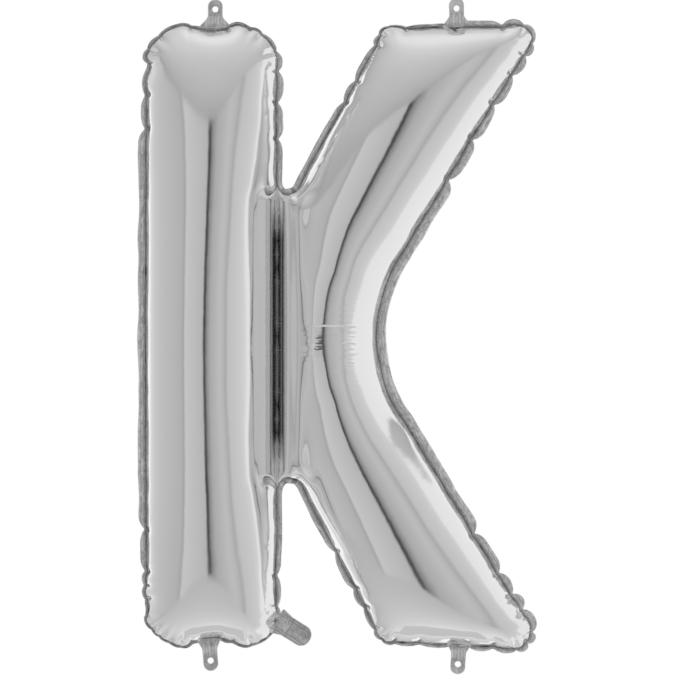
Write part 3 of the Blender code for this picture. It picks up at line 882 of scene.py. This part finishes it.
# Painted shade darkens the foil's colour at the bottom of the crease, where hardly any light comes back: its
# middle, width and shade, two thin dark lines in it with their width, and the heights between which it fades
# out
CREASE_X = -0.0254
CREASE_WIDTH = 0.0050
CREASE_SHADE = 0.62
CREASE_LINES = (-0.0301, -0.0236)
CREASE_LINE_WIDTH = 0.0009
CREASE_FADE_AT = (0.19, 0.14)
PAINTED_CREASE_SHADE = (0.08, 0.08, 0.08)
# The margin's strips from the weld outwards: their full width, and the share of it and the grey of each stop
STRIPS_WIDTH = 0.014
STRIPS = [(0.0, 0.36), (0.09, 0.38), (0.14, 0.60), (0.26, 0.55), (0.30, 0.80), (0.50, 0.78), (0.54, 0.50),
          (0.58, 0.85), (1.0, 0.90)]
# The place across the strips that tabs and tail take, which have none of their own
PLAIN_STRIP = 0.0050


def new_material(name, colour, metallic, roughness):
    material = bpy.data.materials.new(name)
    material.use_nodes = True
    shader = material.node_tree.nodes["Principled BSDF"]
    shader.inputs["Base Color"].default_value = (*colour, 1.0)
    shader.inputs["Metallic"].default_value = metallic
    shader.inputs["Roughness"].default_value = roughness
    return material, material.node_tree, shader


def add_node(tree, kind, inputs=(), **settings):
    """A node with its settings, and its inputs as (socket, value or another node's output)."""
    node = tree.nodes.new(kind)
    for name, value in settings.items():
        setattr(node, name, value)
    for socket, value in inputs:
        if isinstance(value, bpy.types.NodeSocket):
            tree.links.new(value, node.inputs[socket])
        else:
            node.inputs[socket].default_value = value
    return node


def maths(tree, operation, a, b=0.0, clamp=False):
    return add_node(tree, "ShaderNodeMath", [(0, a), (1, b)], operation=operation, use_clamp=clamp).outputs[0]


def product(tree, a, b):
    return maths(tree, "MULTIPLY", a, b)


def noise(tree, vector, scale, detail=4.0, roughness=0.5):
    return add_node(tree, "ShaderNodeTexNoise", [("Vector", vector), ("Scale", scale), ("Detail", detail),
                                                 ("Roughness", roughness)]).outputs["Fac"]


def spread(tree, value, low, high):
    return add_node(tree, "ShaderNodeMapRange",
                    [("Value", value), ("To Min", low), ("To Max", high)]).outputs["Result"]


def add_ramp(tree, value, stops):
    """A grey ramp over value, given as (place from 0 to 1, grey)."""
    ramp = tree.nodes.new("ShaderNodeValToRGB")
    tree.links.new(value, ramp.inputs["Fac"])
    elements = ramp.color_ramp.elements
    while len(elements) > 1:
        elements.remove(elements[-1])
    for k, (place, grey) in enumerate(stops):
        element = elements[0] if k == 0 else elements.new(place)
        element.position = place
        element.color = (grey, grey, grey, 1.0)
    return ramp.outputs["Color"]


def finish(tree, shader, rough, height, distance):
    tree.links.new(rough, shader.inputs["Roughness"])
    bump = add_node(tree, "ShaderNodeBump", [("Height", height), ("Strength", 1.0), ("Distance", distance)])
    tree.links.new(bump.outputs["Normal"], shader.inputs["Normal"])


def exponential(tree, power):
    return maths(tree, "POWER", 2.718, power)


def bell(tree, value, middle, width):
    """1 where value is middle, falling off softly over width."""
    off = maths(tree, "DIVIDE", maths(tree, "SUBTRACT", value, middle), width)
    return exponential(tree, product(tree, product(tree, off, off), -1.0))


def bell_patch(tree, x, z, bells):
    """1 in the middle of a soft patch, given as (middle, width) for x and for z."""
    return product(tree, bell(tree, x, *bells[0]), bell(tree, z, *bells[1]))


def bend_wrinkles(tree, place):
    """The thin crease straight across the arms' bend, and fine wrinkles below it."""
    at = add_node(tree, "ShaderNodeSeparateXYZ", [("Vector", place)]).outputs
    wobble = product(tree, noise(tree, place, 40.0, 1.0), 0.003)
    line = bell_patch(tree, at["X"], maths(tree, "ADD", at["Z"], wobble), BEND_LINE)
    flat = add_node(tree, "ShaderNodeCombineXYZ", [("X", product(tree, at["X"], 0.10)), ("Z", at["Z"])])
    fine = noise(tree, flat.outputs[0], 250.0, 1.0)
    patches = [bell_patch(tree, at["X"], at["Z"], bells) for bells in WRINKLE_PATCHES]
    fine = product(tree, fine, maths(tree, "ADD", *patches))
    return maths(tree, "SUBTRACT", product(tree, fine, WRINKLE_HEIGHT), product(tree, line, BEND_LINE_HEIGHT))


def foil_material():
    """Bright film: almost a mirror, softly uneven, with gathers beside the weld and painted shade in the
    crease.
    """
    material, tree, shader = new_material("silver_foil", FOIL_COLOUR, 1.0, 0.1)
    place = add_node(tree, "ShaderNodeTexCoord").outputs["Object"]
    seam = add_node(tree, "ShaderNodeUVMap", uv_map="seam").outputs["UV"]
    along = add_node(tree, "ShaderNodeSeparateXYZ", [("Vector", seam)]).outputs
    rough = spread(tree, noise(tree, place, 9.0), 0.06, 0.13)
    unevenness = product(tree, noise(tree, place, 30.0, 2.0), UNEVEN_HEIGHT)
    stretched = add_node(tree, "ShaderNodeCombineXYZ", [
        ("X", along["X"]), ("Y", product(tree, along["Y"], 0.06))])
    gather = noise(tree, stretched.outputs[0], 230.0, 1.0)
    nearness = exponential(tree, product(tree, along["Y"], -1 / GATHER_REACH))
    patches = spread(tree, noise(tree, place, 14.0, 1.0), -1.6, 2.2)
    patches = maths(tree, "MAXIMUM", patches, 0.0, clamp=True)
    gather = product(tree, product(tree, gather, nearness), patches)
    height = maths(tree, "ADD", product(tree, gather, GATHER_HEIGHT), unevenness)
    height = maths(tree, "ADD", height, bend_wrinkles(tree, place))
    finish(tree, shader, rough, height, FOIL_BUMP)
    # Painted shade: the foil's base colour darkens along the crease and in two thin lines in it
    at = add_node(tree, "ShaderNodeSeparateXYZ", [("Vector", place)]).outputs
    painted_shade = product(tree, bell(tree, at["X"], CREASE_X, CREASE_WIDTH), CREASE_SHADE)
    for line in CREASE_LINES:
        painted_shade = maths(tree, "MAXIMUM", painted_shade, bell(tree, at["X"], line, CREASE_LINE_WIDTH))
    length = add_node(tree, "ShaderNodeMapRange", [
        ("Value", maths(tree, "ABSOLUTE", at["Z"])), ("From Min", CREASE_FADE_AT[0]),
        ("From Max", CREASE_FADE_AT[1]), ("To Max", 1.0)]).outputs["Result"]
    colour = add_node(tree, "ShaderNodeMix", [
        (0, product(tree, painted_shade, length)), (6, (*FOIL_COLOUR, 1)), (7, (*PAINTED_CREASE_SHADE, 1))], data_type="RGBA")
    tree.links.new(colour.outputs[2], shader.inputs["Base Color"])
    return material


def margin_material():
    """Welded foil: duller, crinkled, and pressed in strips that run along the weld."""
    material, tree, shader = new_material("margin_foil", (0.80, 0.80, 0.81), 1.0, 0.25)
    place = add_node(tree, "ShaderNodeTexCoord").outputs["Object"]
    across = add_node(tree, "ShaderNodeSeparateXYZ", [
        ("Vector", add_node(tree, "ShaderNodeUVMap", uv_map="seam").outputs["UV"])]).outputs["Y"]
    mottle = noise(tree, place, 120.0, 3.0, 0.6)
    crinkle = noise(tree, place, 420.0, 2.0, 0.6)
    strips = add_ramp(tree, maths(tree, "DIVIDE", across, STRIPS_WIDTH), STRIPS)
    shade = maths(tree, "MULTIPLY", strips, spread(tree, mottle, 0.62, 1.32), clamp=True)
    height = maths(tree, "ADD", mottle, product(tree, crinkle, 0.3))
    height = maths(tree, "ADD", height, product(tree, strips, 0.8))
    finish(tree, shader, spread(tree, mottle, 0.16, 0.34), height, 0.0006)
    grey = add_node(tree, "ShaderNodeCombineColor", [("Red", shade), ("Green", shade), ("Blue", shade)])
    tree.links.new(grey.outputs["Color"], shader.inputs["Base Color"])
    return material


def film_material():
    material, tree, shader = new_material("valve_film", (0.85, 0.85, 0.84), 0.0, 0.3)
    place = add_node(tree, "ShaderNodeTexCoord").outputs["Object"]
    grain = noise(tree, place, 120.0)
    finish(tree, shader, spread(tree, grain, 0.2, 0.4), grain, 0.0002)
    return material


# Pieces

# Thickness of the film in the margin, tabs, tail and valve, and its clearance over the foil
MARGIN_FILM, TAB_FILM, TAIL_FILM, VALVE_FILM = 0.0003, 0.0004, 0.0005, 0.0003
CLEARANCE = 0.0006
# A tab's half width, its length past the root, and its hole
TAB_HALF = 0.0108
TAB_END = 0.0295
HOLE_UP = 0.0148
HOLE_RADIUS = 0.0043
# The tail's root, its fall in degrees, its half width, its length, and its welds along the edges and across
TAIL_ROOT = (-0.0221, -0.4184)
TAIL_FALL = -32
TAIL_HALF = 0.0155
TAIL_END = 0.051
WELD_LINES = (0.0022, 0.0058)
CROSS_WELD = 0.016


def add_piece(name, points, faces, material, node, seam=None):
    used = np.unique(faces)
    number = np.full(len(points), -1)
    number[used] = np.arange(len(used))
    mesh = bpy.data.meshes.new(name)
    mesh.from_pydata(np.asarray(points)[used].tolist(), [], number[faces].tolist())
    mesh.shade_smooth()
    mesh.materials.append(material)
    if seam is not None:
        corners = np.empty(len(mesh.loops), int)
        mesh.loops.foreach_get("vertex_index", corners)
        mesh.uv_layers.new(name="seam").data.foreach_set("uv", seam[used][corners].ravel())
    piece = bpy.data.objects.new(name, mesh)
    bpy.context.scene.collection.objects.link(piece)
    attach(piece, "root")
    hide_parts(node)
    return piece


def thicken(piece, thickness):
    solidify = piece.modifiers.new("film thickness", "SOLIDIFY")
    solidify.thickness = thickness
    solidify.offset = 0.0


def film_sheet(loop, holes, step):
    """A flat sheet inside loop with round holes (x, z, radius), as points and triangles."""
    rims = [np.array(loop)]
    for hx, hz, radius in holes:
        turns = np.linspace(0, 2 * math.pi, 28, endpoint=False)
        rims.append(np.stack([hx + radius * np.cos(turns), hz + radius * np.sin(turns)], 1))
    low, high = rims[0].min(0), rims[0].max(0)
    grid = np.array([(x, z) for x in np.arange(low[0], high[0], step)
                     for z in np.arange(low[1], high[1], step)])
    grid = grid[inside(grid, rims[0])]
    for rim in rims:
        grid = grid[distance_to(grid, rim) > 0.5 * step]
    for rim in rims[1:]:
        grid = grid[~inside(grid, rim)]
    kept, start = [], 0
    for rim in rims:
        kept += [(start + k, start + (k + 1) % len(rim)) for k in range(len(rim))]
        start += len(rim)
    points = np.concatenate(rims + [grid])
    flat, faces, _ = triangulate(points, kept, list(range(len(rims[0]))))
    for rim in rims[1:]:
        faces = faces[~inside(flat[faces].mean(1), rim)]
    return flat, faces


def dense_loop(corners, step):
    """A closed loop with fillets, given as (x, z, radius) clockwise."""
    loop, _ = outline(corners, 0.0, run_counts(corners, step))
    return loop


def in_seam_plane(flat, root, along, across):
    """Points of a flat sheet, placed at root in the seam's plane."""
    return np.array([root[0], 0.0, root[1]]) + flat[:, :1] * across + flat[:, 1:] * along


def lay_on(points, skin):
    """Bring points that lie over the foil to just in front of it."""
    for p in points:
        hit = skin.ray_cast((p[0], -0.3, p[2]), (0, 1, 0))[0]
        if hit is not None and hit.y < 0.0:
            p[1] = min(p[1], hit.y - CLEARANCE)


def add_tab(node, root, up, flare, sink, bow, twist, skin, material):
    """A hanging tab: root point on the seam, direction up, with a punched hole and a slight curl."""
    corners = [(-flare - 0.005, -0.0125 - sink, 0.001), (-TAB_HALF, 0.0025 - sink, 0.010),
               (-TAB_HALF, TAB_END, 0.0106), (TAB_HALF, TAB_END, 0.0106),
               (TAB_HALF, 0.0025 - sink, 0.010), (flare + 0.005, -0.0125 - sink, 0.001)]
    flat, faces = film_sheet(dense_loop(corners, 0.0012), [(0.0, HOLE_UP, HOLE_RADIUS)], 0.0013)
    along = np.array([up[0], 0.0, up[1]])
    across = np.array([up[1], 0.0, -up[0]])
    t = np.clip(flat[:, 1] / TAB_END, 0, 1)
    points = in_seam_plane(flat, root, along, across)
    points[:, 1] += bow * t ** 2 + twist * flat[:, 0] * t
    points[:, 1] += 0.0007 * np.sin(flat[:, 0] * 700) * np.exp(-((flat[:, 1] + 0.001) / 0.006) ** 2)
    lay_on(points, skin)
    strips = np.stack([flat[:, 0], np.full(len(flat), PLAIN_STRIP)], 1)
    thicken(add_piece(node + "_film", points, faces, material, node, strips), TAB_FILM)


def add_tail(skin, material):
    """The inflation tail: two films welded along both edges, leaving the notch."""
    slope, half = math.radians(TAIL_FALL), TAIL_HALF
    along = np.array([math.cos(slope), 0.0, math.sin(slope)])
    across = np.array([-math.sin(slope), 0.0, math.cos(slope)])
    loop = dense_loop([(-0.006, -half - 0.006, 0.002), (-0.006, half + 0.004, 0.002), (0.012, half, 0.012),
                       (TAIL_END, half, 0.0145), (TAIL_END, -half, 0.0145), (0.012, -half, 0.012)], 0.0012)
    flat, faces = film_sheet(loop, [], 0.0012)
    pressed = np.zeros(len(flat))
    for line in WELD_LINES:
        pressed += np.exp(-((np.abs(flat[:, 1]) - half + line) / 0.0007) ** 2)
    pressed += np.exp(-((flat[:, 0] - CROSS_WELD) / 0.0009) ** 2)
    pressed = np.minimum(pressed, 1.0)
    swell = np.clip(np.cos(flat[:, 1] / half * math.pi / 2), 0, 1) * np.clip(flat[:, 0] / 0.02, 0, 1)
    points = in_seam_plane(flat, TAIL_ROOT, across, along)
    points[:, 1] -= 0.0004 * pressed + 0.0016 * swell
    lay_on(points, skin)
    strips = np.stack([flat[:, 0], PLAIN_STRIP - 0.0035 * pressed], 1)
    piece = add_piece("inflation_tail_film", points, faces, material, "inflation_tail", strips)
    thicken(piece, TAIL_FILM)


def add_valve(material):
    """The valve's strip of film, along the diagonal of its solid's box."""
    low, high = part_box("valve_film")
    middle_y = (low[1] + high[1]) / 2
    start = np.array([low[0] + 0.009, high[2] - 0.006])
    end = np.array([high[0] - 0.009, low[2] + 0.006])
    run = (end - start) / np.linalg.norm(end - start)
    side = np.array([-run[1], run[0]]) * 0.0100
    corners = [start - side, start + side, end + side, end - side]
    flat, faces = film_sheet(dense_loop([(*c, 0.001) for c in corners], 0.003), [], 0.003)
    points = np.stack([flat[:, 0], np.full(len(flat), middle_y), flat[:, 1]], 1)
    thicken(add_piece("valve_film_strip", points, faces, material, "valve_film"), VALVE_FILM)


foil, margin_foil, film = foil_material(), margin_material(), film_material()
balloon, shape = inflate(2)
front, back, margin = finish_shape(balloon, shape)
for node, (points, faces, places) in (("front_panel", front), ("back_panel", back)):
    add_piece(node + "_foil", points, faces, foil, node, places)
points, faces, places = margin
flange = add_piece("seam_margin_foil", points, faces, margin_foil, "seam_margin", places)
thicken(flange, MARGIN_FILM)
skin = ray_tree(front[0], front[1])
# Each tab's root on the seam, its direction, flare at the root, sink behind the weld, bow and twist
TABS = {
    "hang_tab_top_left": ((-0.1166, 0.462), (0.0, 1.0), 0.0205, 0.0, 0.003, 0.05),
    "hang_tab_top_right": ((0.23612, 0.46327), (-0.0256, 0.9997), 0.0180, 0.0, -0.004, -0.35),
    "hang_tab_bottom_left": ((-0.1246, -0.460), (0.08, -0.9968), 0.0135, 0.005, -0.003, -0.1),
    "hang_tab_bottom_right": ((0.23874, -0.4653), (-0.0597, -0.9982), 0.0150, 0.005, 0.003, 0.1),
}
for node, shape_of_tab in TABS.items():
    add_tab(node, *shape_of_tab, skin, margin_foil)
add_tail(skin, margin_foil)
add_valve(film)

# Floor
FLOOR_BELOW = 4.0
FLOOR_HALF = 1.0
floor_mesh = bpy.data.meshes.new("floor")
floor_corners = [(x * FLOOR_HALF, y * FLOOR_HALF, -FLOOR_BELOW)
                 for x, y in ((-1, -1), (1, -1), (1, 1), (-1, 1))]
floor_mesh.from_pydata(floor_corners, [], [(0, 1, 2, 3)])
floor = bpy.data.objects.new("floor", floor_mesh)
bpy.context.scene.collection.objects.link(floor)
floor_material, floor_tree, floor_shader = new_material("pale_floor", (0.92, 0.92, 0.92), 0.0, 0.8)
grain = noise(floor_tree, add_node(floor_tree, "ShaderNodeTexCoord").outputs["Object"], 8.0)
finish(floor_tree, floor_shader, spread(floor_tree, grain, 0.75, 0.85), grain, 0.0005)
floor_mesh.materials.append(floor_material)

# The studio is a pale tent. Its walls differ in brightness by azimuth: 0 is the camera's side, 90 the
# letter's right, and each entry is (degrees, brightness).
WALLS = [
    (-180, 1.0), (-140, 1.0), (-132, 0.75), (-115, 0.63), (-95, 0.57), (-67, 0.52), (-48, 0.48), (-43, 0.38),
    (-41, 0.62), (-30, 0.58), (-4, 0.51), (-2.5, 0.04), (0, 0.05), (3, 0.26), (10, 0.44), (30, 0.56),
    (38, 0.50), (41, 0.42), (46, 0.58), (67, 0.64), (76, 0.70), (80, 0.84), (120, 0.88), (155, 0.92),
    (170, 1.0), (180, 1.0),
]
# Where the walls meet the ceiling, as the tangent of the height above the horizon
EAVES = [(-180, 0.45), (-84, 0.42), (-38, 0.50), (0, 0.45), (22, 0.53), (43, 0.68), (90, 0.62), (123, 0.48),
         (180, 0.45)]
# The walls reach this many times as far down as up
LOWER_EAVES = [(-180, 1.4), (50, 1.4), (80, 3.0), (180, 3.0)]
# Brightness of ceiling and ground by the sine of the height
CEILING = [(0.0, 0.36), (0.38, 0.38), (0.55, 0.50), (0.75, 0.60), (0.9, 0.70), (1.0, 0.85)]


def round_places(entries, scale=1.0):
    return [((degrees + 180) / 360, value * scale) for degrees, value in entries]


def add_studio():
    """The tent as the world's light, in terms of each direction's azimuth and height."""
    world = bpy.data.worlds.new("studio tent")
    bpy.context.scene.world = world
    world.use_nodes = True
    tree = world.node_tree
    towards = add_node(tree, "ShaderNodeTexCoord").outputs["Generated"]
    parts = add_node(tree, "ShaderNodeSeparateXYZ", [("Vector", towards)]).outputs
    azimuth = maths(tree, "ARCTAN2", parts["X"], product(tree, parts["Y"], -1.0))
    around = maths(tree, "MULTIPLY_ADD", azimuth, 1 / (2 * math.pi))
    around.node.inputs[2].default_value = 0.5
    squares = [product(tree, parts[axis], parts[axis]) for axis in "XY"]
    level = maths(tree, "SQRT", maths(tree, "ADD", *squares))
    height = maths(tree, "ABSOLUTE", parts["Z"])
    rise = maths(tree, "DIVIDE", height, level)
    eaves = product(tree, add_ramp(tree, around, round_places(EAVES, 0.5)), 2.0)
    lower = product(tree, add_ramp(tree, around, round_places(LOWER_EAVES, 0.25)), 4.0)
    below = product(tree, maths(tree, "LESS_THAN", parts["Z"], 0.0), maths(tree, "SUBTRACT", lower, 1.0))
    eaves = product(tree, eaves, maths(tree, "ADD", below, 1.0))
    over = product(tree, maths(tree, "SUBTRACT", rise, eaves), 25.0)
    over = maths(tree, "ADD", over, 0.5, clamp=True)
    walls = add_ramp(tree, around, round_places(WALLS))
    ceiling = add_ramp(tree, height, CEILING)
    mixed = add_node(tree, "ShaderNodeMix", [(0, over), (6, walls), (7, ceiling)], data_type="RGBA")
    tree.links.new(mixed.outputs[2], tree.nodes["Background"].inputs["Color"])


def add_camera():
    """The photograph's straight-on view, from far enough away to show the letter without perspective."""
    data = bpy.data.cameras.new("camera")
    camera = bpy.data.objects.new("camera", data)
    bpy.context.scene.collection.objects.link(camera)
    x, _, z = at_pixel(PHOTO_SIZE / 2, PHOTO_SIZE / 2)
    camera.location = (x, -CAMERA_AWAY, z)
    camera.rotation_euler = (math.pi / 2, 0.0, 0.0)
    data.sensor_width = 36.0
    data.lens = 36.0 * CAMERA_AWAY / (PHOTO_SIZE * PIXEL)
    bpy.context.scene.camera = camera


add_studio()
add_camera()
bpy.context.scene.view_settings.view_transform = "Standard"
